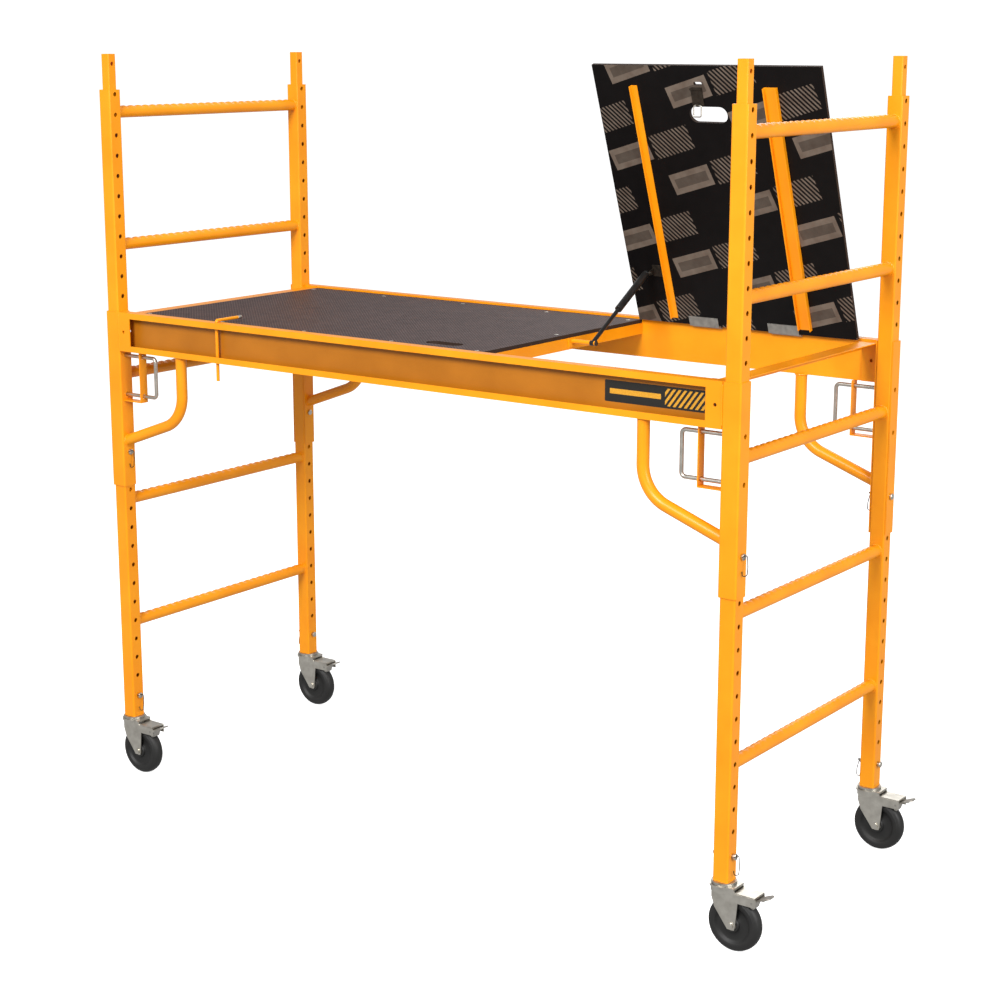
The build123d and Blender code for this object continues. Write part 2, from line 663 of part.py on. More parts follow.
def stay_stud():
    """Stud on the joint cross member that carries the stay's lower eye."""
    y, z = STAY_LOW
    face = JOINT_MEMBER_X + MEMBER_W / 2
    plate = block(face, face + 3, y - 14, y + 14, z - 14, z + 7)
    spacer = rod_x(face, STAY_X - EYE_T / 2 - 0.5, y, z, 11.0)
    pin = rod_x(face, STAY_X + EYE_T / 2 + 5, y, z, EYE_PIN_D)
    washer = rod_x(STAY_X + EYE_T / 2 + 0.5, STAY_X + EYE_T / 2 + 4, y, z, 11.0)
    return plate + spacer + pin + washer


def build_stay():
    save("stay_rod", stay_rod())
    save("stay_tube", stay_tube())
    save("stay_stud", stay_stud())


# --- Casters, drawn about the post's axis with the wheel trailing towards +X ---------------
def caster_stem():
    """Stem inside the post, its flange and the kingpin that the yoke turns on."""
    flange_bottom = YOKE_TOP_Z + CLEAR
    stem = rod_z(0, 0, flange_bottom, POST_BOTTOM_Z + 90, 33.0)
    stem += rod_z(0, 0, flange_bottom, POST_BOTTOM_Z, 56.0)
    kingpin_bottom = YOKE_TOP_Z - YOKE_T - 7
    stem += rod_z(0, 0, kingpin_bottom, flange_bottom, KINGPIN_D)
    stem += rod_z(0, 0, kingpin_bottom, YOKE_TOP_Z - YOKE_T - CLEAR, 20.0)
    return stem - rod_x(-POST_SIZE, POST_SIZE, 0, CASTER_PIN_Z, SPIGOT_HOLE_D)


def yoke():
    """Pressed steel yoke: top plate with its ball race, two tapered legs and the brake arms."""
    pivot_x, pivot_z = PEDAL_PIVOT
    bottom = YOKE_TOP_Z - YOKE_T
    leg_top = YOKE_TOP_Z - YOKE_T / 2
    leg_outline = [
        (-19, leg_top), (33, leg_top), (40, 138), (pivot_x + 8, 138),
        (pivot_x + 8, 118), (46, 118), (TRAIL + 11, 62), (TRAIL + 9, 54), (TRAIL - 8, 54),
        (TRAIL - 41, 98), (-19, 121),
    ]
    outer = LEG_INNER + LEG_T
    body = rod_z(0, 0, bottom, YOKE_TOP_Z, 2 * YOKE_R)
    body += rod_z(0, 0, RACE_BOTTOM_Z, YOKE_TOP_Z - 1, 2 * RACE_R)
    body -= rod_z(0, 0, RACE_BOTTOM_Z, bottom, 2 * (RACE_R - LEG_T))
    body += block(-21, 36, -outer - 1, outer + 1, bottom, YOKE_TOP_Z)
    body += block(37, pivot_x + 7, -outer + 1, outer - 1, 136.5, 140.5)
    for sy in (-1, 1):
        outline = make_face(Polyline(*leg_outline, close=True))
        plate = extrude(Plane.XZ * outline, LEG_T / 2, both=True)
        body += Pos(0, sy * (LEG_INNER + LEG_T / 2), 0) * plate
    body -= rod_z(0, 0, bottom, YOKE_TOP_Z, KINGPIN_BORE_D)
    body -= rod_y(TRAIL, -outer, outer, WHEEL_R, AXLE_BORE_D)
    return body - rod_y(pivot_x, -outer, outer, pivot_z, PEDAL_PIN_D + 0.12)


def axle():
    """Axle bolt with a flat head and a nut outside the yoke's legs."""
    outer = LEG_INNER + LEG_T
    bolt = rod_y(TRAIL, -outer, outer, WHEEL_R, AXLE_D)
    bolt += rod_y(TRAIL, -outer - 3, -outer, WHEEL_R, 13.0)
    nut = extrude(RegularPolygon(7.5, 6), 5)
    return bolt + Pos(TRAIL, outer + 5, WHEEL_R) * Rot(90, 0, 0) * nut


def wheel():
    """Solid wheel with a crowned tread, dished faces and a hub."""
    half = WHEEL_W / 2
    bore = AXLE_BORE_D / 2
    profile = Polyline(
        (bore, -HUB_W / 2), (HUB_R, -HUB_W / 2), (HUB_R + 2, -half + 4), (WHEEL_FACE_R - 8, -half + 4),
        (WHEEL_FACE_R - 4, -half), (WHEEL_FACE_R, -half), (WHEEL_R - 1.5, -half + 7),
    )
    tread = ThreePointArc((WHEEL_R - 1.5, -half + 7), (WHEEL_R, 0), (WHEEL_R - 1.5, half - 7))
    back = Polyline(
        (WHEEL_R - 1.5, half - 7), (WHEEL_FACE_R, half), (WHEEL_FACE_R - 4, half),
        (WHEEL_FACE_R - 8, half - 4), (HUB_R + 2, half - 4), (HUB_R, HUB_W / 2), (bore, HUB_W / 2),
        (bore, -HUB_W / 2),
    )
    face = make_face(Plane.XY * (profile + tread + back))
    return Pos(TRAIL, 0, WHEEL_R) * revolve(face, Axis.Y)


def brake_pedal():
    """Foot pedal on a cross pin, with the cam that locks the wheel."""
    pivot_x, pivot_z = PEDAL_PIVOT
    half = LEG_INNER - 0.6
    pedal = rod_y(pivot_x, -half, half, pivot_z, 11.0)
    pedal += rod_y(pivot_x, -LEG_INNER - LEG_T, LEG_INNER + LEG_T, pivot_z, PEDAL_PIN_D)
    tongue = make_face(Polyline(
        (0, -11), (10, -11), (22, -15), (33, -15), (39, -9), (39, 9), (33, 15), (22, 15), (10, 11), (0, 11),
        close=True,
    ))
    tongue = extrude(tongue, 3)
    pedal += Pos(pivot_x + 2, 0, pivot_z + 1) * Rot(0, -TONGUE_RISE, 0) * tongue
    cam = make_face(Polyline((-5.4, 0), (-3.5, -17), (3.5, -17), (5.4, 0), close=True))
    cam = extrude(Plane.XZ * cam, 12, both=True)
    pedal += Pos(pivot_x, 0, pivot_z) * Rot(0, CAM_LEAN, 0) * cam
    return pedal


def build_casters():
    places = {name: Pos(sx * POST_X, sy * POST_Y, 0) for name, (sx, sy) in CORNERS.items()}
    save("caster_stems", *[place * caster_stem() for place in places.values()])
    for name, place in places.items():
        save(f"caster_yoke_{name}", place * yoke(), place * axle())
        save(f"caster_wheel_{name}", place * wheel())
        save(f"brake_pedal_{name}", place * brake_pedal())


os.makedirs("parts", exist_ok=True)
build_end_frames()
build_platform()
build_hatch()
build_stay()
build_casters()
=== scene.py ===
import json
import math

import bmesh
import bpy
from mathutils import Matrix, Vector, noise


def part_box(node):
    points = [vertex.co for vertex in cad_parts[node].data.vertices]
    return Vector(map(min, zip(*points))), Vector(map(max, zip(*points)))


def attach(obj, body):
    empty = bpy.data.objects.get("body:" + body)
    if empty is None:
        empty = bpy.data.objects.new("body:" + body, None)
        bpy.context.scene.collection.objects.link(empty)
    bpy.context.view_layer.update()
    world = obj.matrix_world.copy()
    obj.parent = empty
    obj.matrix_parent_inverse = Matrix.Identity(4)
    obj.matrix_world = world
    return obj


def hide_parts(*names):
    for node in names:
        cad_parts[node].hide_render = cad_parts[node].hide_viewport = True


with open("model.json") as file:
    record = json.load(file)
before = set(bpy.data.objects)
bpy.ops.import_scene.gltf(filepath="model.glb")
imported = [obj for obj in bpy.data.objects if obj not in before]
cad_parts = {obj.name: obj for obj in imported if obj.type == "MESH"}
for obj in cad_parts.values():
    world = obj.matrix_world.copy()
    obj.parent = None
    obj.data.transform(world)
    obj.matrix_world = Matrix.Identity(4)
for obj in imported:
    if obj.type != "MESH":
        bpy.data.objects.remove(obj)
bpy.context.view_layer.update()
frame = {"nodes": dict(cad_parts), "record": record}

nodes = frame["nodes"]
CORNERS = ("front_left", "front_right", "back_left", "back_right")
ENDS = ("left", "right")


# --- Posts of the two end frames ---
# Square steel tube with a row of adjustment holes, rolled and punched, then powder coated
# yellow-orange. The coat levels out smooth but keeps a slight orange peel.
def linear(hex_colour):
    """An sRGB hex colour as linear red, green, blue and alpha."""
    parts = [int(hex_colour[i:i + 2], 16) / 255 for i in (1, 3, 5)]
    return [p / 12.92 if p <= 0.04045 else ((p + 0.055) / 1.055) ** 2.4 for p in parts] + [1.0]


def add(material, kind, inputs=(), **settings):
    """Adds a shader node; inputs pairs a socket with a value or with another node's output."""
    tree = material.node_tree
    node = tree.nodes.new(kind)
    for name, value in settings.items():
        setattr(node, name, value)
    for socket, value in inputs:
        if isinstance(value, bpy.types.NodeSocket):
            tree.links.new(value, node.inputs[socket])
        else:
            node.inputs[socket].default_value = value
    return node


def start_material(name):
    """An empty material and its object coordinates, in metres."""
    material = bpy.data.materials.new(name)
    material.use_nodes = True
    material.node_tree.nodes.clear()
    where = add(material, "ShaderNodeTexCoord").outputs["Object"]
    return material, where


def finish_material(material, inputs):
    """Ends a material in one Principled surface."""
    surface = add(material, "ShaderNodeBsdfPrincipled", inputs)
    add(material, "ShaderNodeOutputMaterial", [("Surface", surface.outputs[0])])
    return material


def speckle(material, where, per_metre, detail=2.0, roughness=0.5):
    """Noise with about this many features in a metre."""
    inputs = [("Vector", where), ("Scale", per_metre), ("Detail", detail), ("Roughness", roughness)]
    return add(material, "ShaderNodeTexNoise", inputs).outputs["Fac"]


def ramp(material, factor, *stops):
    """A colour ramp from (position, hex colour) stops."""
    node = add(material, "ShaderNodeValToRGB", [("Fac", factor)])
    points = node.color_ramp.elements
    while len(points) < len(stops):
        points.new(0.5)
    for point, (place, shade) in zip(points, stops):
        point.position = place
        point.color = linear(shade)
    return node.outputs["Color"]


def between(material, factor, low, high):
    """A number that goes from low to high with factor."""
    inputs = [("Value", factor), ("To Min", low), ("To Max", high)]
    return add(material, "ShaderNodeMapRange", inputs).outputs["Result"]


def calculate(material, operation, first, second):
    """One sum on two numbers or outputs."""
    return add(material, "ShaderNodeMath", [(0, first), (1, second)], operation=operation).outputs[0]


def within(material, value, start, end):
    """1 where value lies between start and end, else 0."""
    above = calculate(material, "GREATER_THAN", value, start)
    below = calculate(material, "LESS_THAN", value, end)
    return calculate(material, "MULTIPLY", above, below)


def bump(material, height, depth, under=None):
    """A bump whose full height is depth, in metres, over an optional bump below it."""
    inputs = [("Height", height), ("Distance", depth), ("Strength", 1.0)]
    if under is not None:
        inputs.append(("Normal", under))
    return add(material, "ShaderNodeBump", inputs).outputs["Normal"]


def mix(material, factor, low, high):
    """A colour between low and high, each a hex colour or an output."""
    low = linear(low) if isinstance(low, str) else low
    high = linear(high) if isinstance(high, str) else high
    node = add(material, "ShaderNodeMix", [("Factor", factor)], data_type="RGBA")
    for socket, value in ((node.inputs[6], low), (node.inputs[7], high)):
        if isinstance(value, bpy.types.NodeSocket):
            material.node_tree.links.new(value, socket)
        else:
            socket.default_value = value
    return node.outputs[2]


def powder_coat(name, painted_shade_zone=None):
    """Polyester powder coat on steel: an even semi-gloss film, with a 4 mm orange peel,
    faint cloudiness from uneven film thickness, and a few dust nibs. Inside the optional zone,
    ((nearest, farthest) from the middle line, (lowest, highest)), the film is painted a darker brown as shade."""
    material, where = start_material(name)
    cloud = speckle(material, where, 9.0, detail=3.0)
    peel = speckle(material, where, 260.0, detail=1.0)
    nib = speckle(material, where, 900.0, detail=0.0)
    film = ramp(material, cloud, (0.3, "#F29106"), (0.7, "#F79D0E"))
    # painted shade: inside the zone the coat is coloured a darker brown, standing in for the shade inside a
    # channel
    if painted_shade_zone:
        place = add(material, "ShaderNodeSeparateXYZ", [("Vector", where)]).outputs
        sideways = calculate(material, "ABSOLUTE", place["Y"], 0.0)
        painted_shade_mask = calculate(material, "MULTIPLY", within(material, sideways, *painted_shade_zone[0]),
                         within(material, place["Z"], *painted_shade_zone[1]))
        painted_shade_tone = ramp(material, cloud, (0.3, "#A9650F"), (0.7, "#B87016"))
        film = mix(material, painted_shade_mask, film, painted_shade_tone)
    nibs = between(material, nib, -1.6, 2.2)
    rough = between(material, cloud, 0.30, 0.42)
    levelled = bump(material, peel, 0.00012)
    return finish_material(material, [
        ("Base Color", film), ("Roughness", rough), ("IOR", 1.5), ("Specular IOR Level", 0.3),
        ("Normal", bump(material, nibs, 0.00001, levelled)),
        ("Coat Weight", 0.1), ("Coat Roughness", 0.2),
    ])


POWDER = powder_coat("yellow_powder_coated_steel")


def finish_node(name, material, edge=0.0):
    """Gives a CAD node its material, and rounds its sharp edges by this many metres."""
    node = nodes[name]
    node.data.materials.clear()
    node.data.materials.append(material)
    if edge:
        weld = node.modifiers.new("joined", "WELD")
        weld.merge_threshold = 0.00001
        flat = node.modifiers.new("whole flat faces", "DECIMATE")
        flat.decimate_type = "DISSOLVE"
        flat.angle_limit = math.radians(0.5)
        rounded = node.modifiers.new("rounded edges", "BEVEL")
        rounded.width = edge
        rounded.segments = 2
        rounded.limit_method = "ANGLE"
        rounded.angle_limit = math.radians(32)
        node.modifiers.new("shading led by the big faces", "WEIGHTED_NORMAL")


for corner in CORNERS:
    finish_node(f"upper_post_{corner}", POWDER)
    finish_node(f"lower_post_{corner}", POWDER)

# --- Stacking spigots ---
# Smaller square tubes that stand out of the post tops, with a cross hole for a lock pin.
# The same coat as the posts.
finish_node("top_spigots", POWDER)
finish_node("splice_spigots", POWDER)


# --- Rungs ---
# Round tube with a row of pressed bumps along its top for grip, welded between the posts.
BUMP_PITCH = 0.0254
BUMP_RISE = 0.0022


def save_piece(name, bm, material, body, *replaced):
    """Turns a bmesh into a finished piece that rides on a body."""
    bmesh.ops.recalc_face_normals(bm, faces=bm.faces)
    mesh = bpy.data.meshes.new(name)
    bm.to_mesh(mesh)
    bm.free()
    mesh.materials.append(material)
    for face in mesh.polygons:
        face.use_smooth = True
    mesh.set_sharp_from_angle(angle=math.radians(38))
    piece = bpy.data.objects.new(name, mesh)
    bpy.context.scene.collection.objects.link(piece)
    if replaced:
        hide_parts(*replaced)
    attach(piece, body)
    return piece


def node_solids(name):
    """The boxes of a group node's separate solids, as (low, high) corners."""
    bm = bmesh.new()
    bm.from_mesh(nodes[name].data)
    bmesh.ops.remove_doubles(bm, verts=bm.verts, dist=0.00001)
    boxes = []
    seen = set()
    for first in bm.verts:
        if first in seen:
            continue
        seen.add(first)
        group = [first]
        for vert in group:
            for edge in vert.link_edges:
                other = edge.other_vert(vert)
                if other not in seen:
                    seen.add(other)
                    group.append(other)
        low = Vector([min(v.co[i] for v in group) for i in range(3)])
        high = Vector([max(v.co[i] for v in group) for i in range(3)])
        boxes.append((low, high))
    bm.free()
    return boxes


def add_rung(bm, low, high):
    """One rung between two posts, with bumps along its top."""
    radius = (high.z - low.z) / 2
    axis = Vector(((low.x + high.x) / 2, low.y, (low.z + high.z) / 2))
    turn = Matrix.Translation(axis) @ Matrix.Rotation(math.radians(90), 4, "X")
    ring = bmesh.ops.create_circle(bm, segments=40, radius=radius, matrix=turn)["verts"]
    edges = list({edge for vert in ring for edge in vert.link_edges})
    steps = 210
    bmesh.ops.spin(
        bm, geom=edges, cent=axis, axis=(0, 1, 0), dvec=(0, (high.y - low.y) / steps, 0),
        angle=0.0, steps=steps, use_merge=False)
    margin = 0.012
    for vert in bm.verts:
        away = vert.co - Vector((axis.x, vert.co.y, axis.z))
        from_top = abs(math.atan2(away.x, away.z))
        spread = max(0.0, 1.0 - (from_top / math.radians(48)) ** 2)
        along = vert.co.y - low.y
        if margin < along < high.y - low.y - margin:
            wave = 0.5 - 0.5 * math.cos(2 * math.pi * (along - margin) / BUMP_PITCH)
            away = away * (1.0 + BUMP_RISE * wave ** 0.7 * spread / radius)
            vert.co = Vector((axis.x, vert.co.y, axis.z)) + away


def join_in(bm, part):
    """Adds one bmesh to another and frees it."""
    spare = bpy.data.meshes.new("spare")
    part.to_mesh(spare)
    part.free()
    bm.from_mesh(spare)
    bpy.data.meshes.remove(spare)


rung_boxes = []
for end in ENDS:
    for tier in ("upper", "lower"):
        node = f"{tier}_rungs_{end}"
        bm = bmesh.new()
        for low, high in node_solids(node):
            part = bmesh.new()
            add_rung(part, low, high)
            join_in(bm, part)
            rung_boxes.append((low, high))
        save_piece(f"gripped_{node}", bm, POWDER, "frame", node)


# --- Weld beads on the end frames ---
# A ring of rippled weld joins each rung to its post, under the same coat.
def weld_ring(bm, centre, normal, ring, bead, stretch=1.0):
    """A rippled bead round a tube; stretch lengthens the ring along its second axis."""
    part = bmesh.new()
    turn = Matrix.Translation((ring, 0, 0)) @ Matrix.Rotation(math.radians(90), 4, "X")
    round_edge = bmesh.ops.create_circle(part, segments=8, radius=bead, matrix=turn)["verts"]
    edges = list({edge for vert in round_edge for edge in vert.link_edges})
    bmesh.ops.spin(
        part, geom=edges, cent=(0, 0, 0), axis=(0, 0, 1), angle=2 * math.pi, steps=72, use_merge=True)
    for vert in part.verts:
        turned = math.atan2(vert.co.y, vert.co.x)
        middle = Vector((math.cos(turned), math.sin(turned), 0)) * ring
        ripple = 1.0 + 0.16 * math.cos(26 * turned) + 0.25 * noise.noise(vert.co * 90 + Vector(centre) * 7)
        vert.co = middle + (vert.co - middle) * ripple
        vert.co.y *= stretch
    place = Matrix.Translation(centre) @ Vector(normal).to_track_quat("Z", "Y").to_matrix().to_4x4()
    bmesh.ops.transform(part, matrix=place, verts=part.verts)
    join_in(bm, part)


bm = bmesh.new()
for low, high in rung_boxes:
    for y in (low.y + 0.0004, high.y - 0.0004):
        middle = ((low.x + high.x) / 2, y, (low.z + high.z) / 2)
        weld_ring(bm, middle, (0, 1, 0), (high.z - low.z) / 2 + 0.0004, 0.0021)
save_piece("rung_welds", bm, POWDER, "frame")

# --- Platform rails, end plates and cross members ---
# Roll-formed lipped channels with pressed plates welded over their ends; box tubes and
# angles cross between them under the deck. Powder coated, with shade painted darker inside the channels.
rail_low, rail_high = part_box("front_rail")
channel_across = (abs(rail_high[1]) + 0.0012, abs(rail_low[1]) - 0.001)
channel_height = (rail_low[2] + 0.0015, rail_high[2] - 0.0015)
# painted shade: the rails' channel webs are coloured darker brown as the shade under their flanges
RAIL_POWDER = powder_coat("powder_coated_rail_with_painted_channel_shade", (channel_across, channel_height))
for node in ("front_rail", "back_rail"):
    finish_node(node, RAIL_POWDER, edge=0.0006)
for node in ("deck_ledges", "end_plates", "cross_members"):
    finish_node(node, POWDER, edge=0.0006)

# --- Sleeves, knee braces and lock straps ---
# Folded U sleeves slide on the posts; bent tubes brace the rails from below; flat straps
# guide the U-locks. Welded to the platform and coated with it.
for corner in CORNERS:
    finish_node(f"sleeve_{corner}", POWDER, edge=0.0006)
    finish_node(f"knee_brace_{corner}", POWDER)
finish_node("lock_straps", POWDER, edge=0.0005)


def weld_line(bm, start, end, bead):
    """A straight rippled bead between two points."""
    part = bmesh.new()
    run = Vector(end) - Vector(start)
    steps = max(8, int(run.length / 0.0012))
    ring = bmesh.ops.create_circle(part, cap_ends=True, segments=8, radius=bead)["verts"]
    edges = list({edge for vert in ring for edge in vert.link_edges})
    bmesh.ops.spin(
        part, geom=edges, cent=(0, 0, 0), axis=(0, 0, 1), dvec=(0, 0, run.length / steps),
        angle=0.0, steps=steps)
    for vert in part.verts:
        ends = min(1.0, 0.3 + vert.co.z / 0.004, 0.3 + (run.length - vert.co.z) / 0.004)
        ripple = 1.0 + 0.15 * math.cos(vert.co.z / 0.0035 * 2 * math.pi)
        vert.co.x *= ripple * ends
        vert.co.y *= ripple * ends
    place = Matrix.Translation(start) @ run.to_track_quat("Z", "Y").to_matrix().to_4x4()
    bmesh.ops.transform(part, matrix=place, verts=part.verts)
    join_in(bm, part)


bm = bmesh.new()
for corner in CORNERS:
    low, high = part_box(f"knee_brace_{corner}")
    side = 1 if corner.endswith("right") else -1
    tube_r = (high[1] - low[1]) / 2
    mid_y = (low[1] + high[1]) / 2
    top_x = (low[0] if side > 0 else high[0]) + side * tube_r
    weld_ring(bm, (top_x, mid_y, high[2] - 0.0003), (0, 0, 1), tube_r + 0.0003, 0.002)
    end_x = high[0] if side > 0 else low[0]
    foot_z = low[2] + tube_r * 1.07
    weld_ring(bm, (end_x - side * 0.0003, mid_y, foot_z), (1, 0, 0), tube_r + 0.0002, 0.002)
for low, high in node_solids("end_plates"):
    side = 1 if (low.x + high.x) > 0 else -1
    outer = max(low.y, high.y, key=abs)
    if abs(outer) < 0.36:
        continue
    x = max(low.x, high.x, key=abs)
    face = outer - math.copysign(0.0008, outer)
    weld_line(bm, (x - side * 0.0004, face, low.z + 0.006), (x - side * 0.0004, face, high.z - 0.006), 0.0017)
save_piece("platform_welds", bm, POWDER, "frame")


# --- U-locks ---
# Bent steel bar with bright zinc plating that clouds over slightly where it has been
# handled. Each slides in its straps and enters two holes of a post.
def bright_zinc():
    """Clear-passivated zinc plate: pale, a little warm, with soft clouding and fine draw lines."""
    material, where = start_material("bright_zinc_plated_steel")
    cloud = speckle(material, where, 55.0, detail=4.0)
    grain = speckle(material, where, 700.0, detail=2.0)
    return finish_material(material, [
        ("Base Color", ramp(material, cloud, (0.25, "#BDB8AE"), (0.75, "#DAD6CC"))),
        ("Metallic", 1.0), ("Roughness", between(material, cloud, 0.24, 0.42)),
        ("Normal", bump(material, grain, 0.00004)),
    ])


ZINC = bright_zinc()
for corner in CORNERS:
    finish_node(f"u_lock_{corner}", ZINC)


# --- Hook rod ---
# A bent rod that swivels in the front rail, coated like the platform, with a bright ferrule
# pressed on its tip.
def lathe(bm, profile, centre, axis, steps=32):
    """Spins (distance along, radius) points round an axis through centre."""
    part = bmesh.new()
    verts = [part.verts.new((radius, 0, along)) for along, radius in profile]
    edges = [part.edges.new(pair) for pair in zip(verts, verts[1:])]
    bmesh.ops.spin(
        part, geom=verts + edges, cent=(0, 0, 0), axis=(0, 0, 1), angle=2 * math.pi, steps=steps,
        use_merge=True)
    bmesh.ops.remove_doubles(part, verts=part.verts, dist=0.000005)
    place = Matrix.Translation(centre) @ Vector(axis).to_track_quat("Z", "Y").to_matrix().to_4x4()
    bmesh.ops.transform(part, matrix=place, verts=part.verts)
    join_in(bm, part)


finish_node("hook_rod", POWDER)
hook_low, hook_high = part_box("hook_rod")
hook_radius = 0.004
bm = bmesh.new()
lathe(bm, [(-0.012, 0), (-0.012, hook_radius), (-0.0116, hook_radius + 0.0003), (-0.0008, hook_radius + 0.0003),
           (0, hook_radius - 0.0004), (0, 0)],
      ((hook_low[0] + hook_high[0]) / 2, hook_high[1] + 0.0001, hook_high[2] - hook_radius), (0, 1, 0))
save_piece("hook_rod_ferrule", bm, ZINC, "hook")


# --- Lock pins and their wire keepers ---
# Turned pins with domed heads go through the sleeves, posts and caster stems; a bent spring
# wire hangs on each so that it can't work out.
def bent_wire(bm, points, radius, bend=0.004):
    """A round wire along straight runs, each corner rounded."""
    path = [Vector(points[0])]
    for before, here, after in zip(points, points[1:], points[2:]):
        before, here, after = Vector(before), Vector(here), Vector(after)
        cut = min(bend, (before - here).length * 0.45, (after - here).length * 0.45)
        enter = here + (before - here).normalized() * cut
        leave = here + (after - here).normalized() * cut
        for step in range(7):
            t = step / 6
            path.append(enter * (1 - t) ** 2 + here * 2 * t * (1 - t) + leave * t ** 2)
    path.append(Vector(points[-1]))
    part = bmesh.new()
    rings = []
    for index, point in enumerate(path):
        ahead = path[min(index + 1, len(path) - 1)] - path[max(index - 1, 0)]
        turn = Matrix.Translation(point) @ ahead.to_track_quat("Z", "Y").to_matrix().to_4x4()
        capped = index in (0, len(path) - 1)
        ring = bmesh.ops.create_circle(part, cap_ends=capped, segments=12, radius=radius, matrix=turn)["verts"]
        rings.append([edge for edge in part.edges if edge.verts[0] in ring and edge.verts[1] in ring])
    for near, far in zip(rings, rings[1:]):
        bmesh.ops.bridge_loops(part, edges=near + far)
    join_in(bm, part)


def oiled_steel():
    """Mild steel with a dark brown-grey phosphate and oil finish."""
    material, where = start_material("phosphated_steel")
    cloud = speckle(material, where, 120.0, detail=4.0)
    return finish_material(material, [
        ("Base Color", ramp(material, cloud, (0.25, "#3A342E"), (0.75, "#50483F"))),
        ("Metallic", 0.9), ("Roughness", between(material, cloud, 0.42, 0.6)),
        ("Normal", bump(material, cloud, 0.00006)),
    ])


PHOSPHATED = oiled_steel()
bm = bmesh.new()
keepers = bmesh.new()
for low, high in node_solids("lock_pins"):
    if high.x - low.x < 0.03:
        continue
    middle_y = (low.y + high.y) / 2
    middle_z = (low.z + high.z) / 2
    shank = 0.00475
    head = (high.y - low.y) / 2
    length = high.x - low.x
    lathe(bm, [
        (0, 0), (0, shank * 0.55), (0.0012, shank * 0.9), (0.0022, shank), (length - 0.006, shank),
        (length - 0.006, head * 0.93), (length - 0.0054, head), (length - 0.002, head),
        (length - 0.0007, head * 0.86), (length, head * 0.45), (length, 0),
    ], (low.x, middle_y, middle_z), (1, 0, 0))
    outward = 1 if middle_y < 0 else -1
    tip = high.x if outward > 0 else low.x
    hang = [
        (tip - outward * 0.0035, middle_y - 0.0075, middle_z + 0.001),
        (tip + outward * 0.0016, middle_y - 0.0062, middle_z + 0.004),
        (tip + outward * 0.0022, middle_y + 0.0058, middle_z + 0.003),
        (tip + outward * 0.0068, middle_y + 0.0015, middle_z - 0.022),
        (tip + outward * 0.0062, middle_y - 0.0008, middle_z - 0.039),
        (tip - outward * 0.0035, middle_y - 0.0028, middle_z - 0.0415),
        (tip - outward * 0.0045, middle_y - 0.0035, middle_z - 0.031),
    ]
    bent_wire(keepers, hang, 0.001, bend=0.006)
save_piece("turned_lock_pins", bm, ZINC, "frame", "lock_pins")
save_piece("wire_pin_keepers", keepers, PHOSPHATED, "frame")


# --- Deck panel ---
# Birch plywood with a brown phenolic film. Its top is pressed with a fine wire mesh for
# grip, and its cut edges are sealed with dark paint.
MESH_PITCH = 0.0065
PLY = 0.0015


def film_faced_ply(name, top_at, low_at, slope_deg=0.0, hinge=(0.0, 0.0), underside=None):
    """Film-faced plywood; top_at and low_at are its faces' heights square to the panel,
    measured from hinge, and slope_deg is how far the panel is turned up about X there."""
    material, where = start_material(name)
    slope = math.radians(slope_deg)
    from_hinge = add(material, "ShaderNodeVectorMath", [(0, where), (1, (0, hinge[0], hinge[1]))],
                     operation="SUBTRACT").outputs[0]
    square = (0, math.sin(slope), math.cos(slope))
    height = add(material, "ShaderNodeVectorMath", [(0, from_hinge), (1, square)],
                 operation="DOT_PRODUCT").outputs["Value"]
    level = (0, -math.cos(slope), math.sin(slope))
    along = add(material, "ShaderNodeVectorMath", [(0, from_hinge), (1, level)],
                operation="DOT_PRODUCT").outputs["Value"]
    across = add(material, "ShaderNodeSeparateXYZ", [("Vector", where)]).outputs["X"]
    flat = add(material, "ShaderNodeCombineXYZ", [("X", across), ("Y", along)]).outputs[0]
    turned = add(material, "ShaderNodeMapping",
                 [("Vector", flat), ("Rotation", (0, 0, math.radians(45)))]).outputs[0]
    # a wave texture repeats every 0.314 units at scale 1
    wires = [
        add(material, "ShaderNodeTexWave", [("Vector", turned), ("Scale", 0.314 / MESH_PITCH)],
            bands_direction=direction).outputs["Fac"]
        for direction in ("X", "Y")]
    mesh = calculate(material, "MAXIMUM", wires[0], wires[1])
    film = speckle(material, where, 35.0, detail=4.0)
    fine = speckle(material, where, 240.0, detail=3.0)
    film_tone = ramp(material, film, (0.3, "#2B1E1F"), (0.7, "#372829"))
    worn_tone = ramp(material, film, (0.3, "#574441"), (0.7, "#69544F"))
    worn = ramp(material, mesh, (0.86, "#000000"), (0.97, "#FFFFFF"))
    depth_in = add(material, "ShaderNodeCombineXYZ", [("X", height)]).outputs[0]
    plies = add(material, "ShaderNodeTexWave", [("Vector", depth_in), ("Scale", 0.314 / PLY)]).outputs["Fac"]
    edge_tone = ramp(material, plies, (0.2, "#2A201B"), (0.8, "#3B2E27"))
    is_top = calculate(material, "GREATER_THAN", height, top_at - 0.0002)
    is_low = calculate(material, "LESS_THAN", height, low_at + 0.0002)
    tone = mix(material, is_top, edge_tone, mix(material, worn, film_tone, worn_tone))
    below = underside(material, flat, film) if underside else film_tone
    pressed = calculate(material, "MULTIPLY", mesh, is_top)
    return finish_material(material, [
        ("Base Color", mix(material, is_low, tone, below)),
        ("Roughness", between(material, fine, 0.46, 0.64)), ("IOR", 1.5), ("Specular IOR Level", 0.16),
        ("Normal", bump(material, pressed, 0.0004, bump(material, fine, 0.00008))),
    ])


deck_low, deck_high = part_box("deck_panel")
DECK_PLY = film_faced_ply("film_faced_plywood", deck_high[2], deck_low[2])
finish_node("deck_panel", DECK_PLY, edge=0.0004)

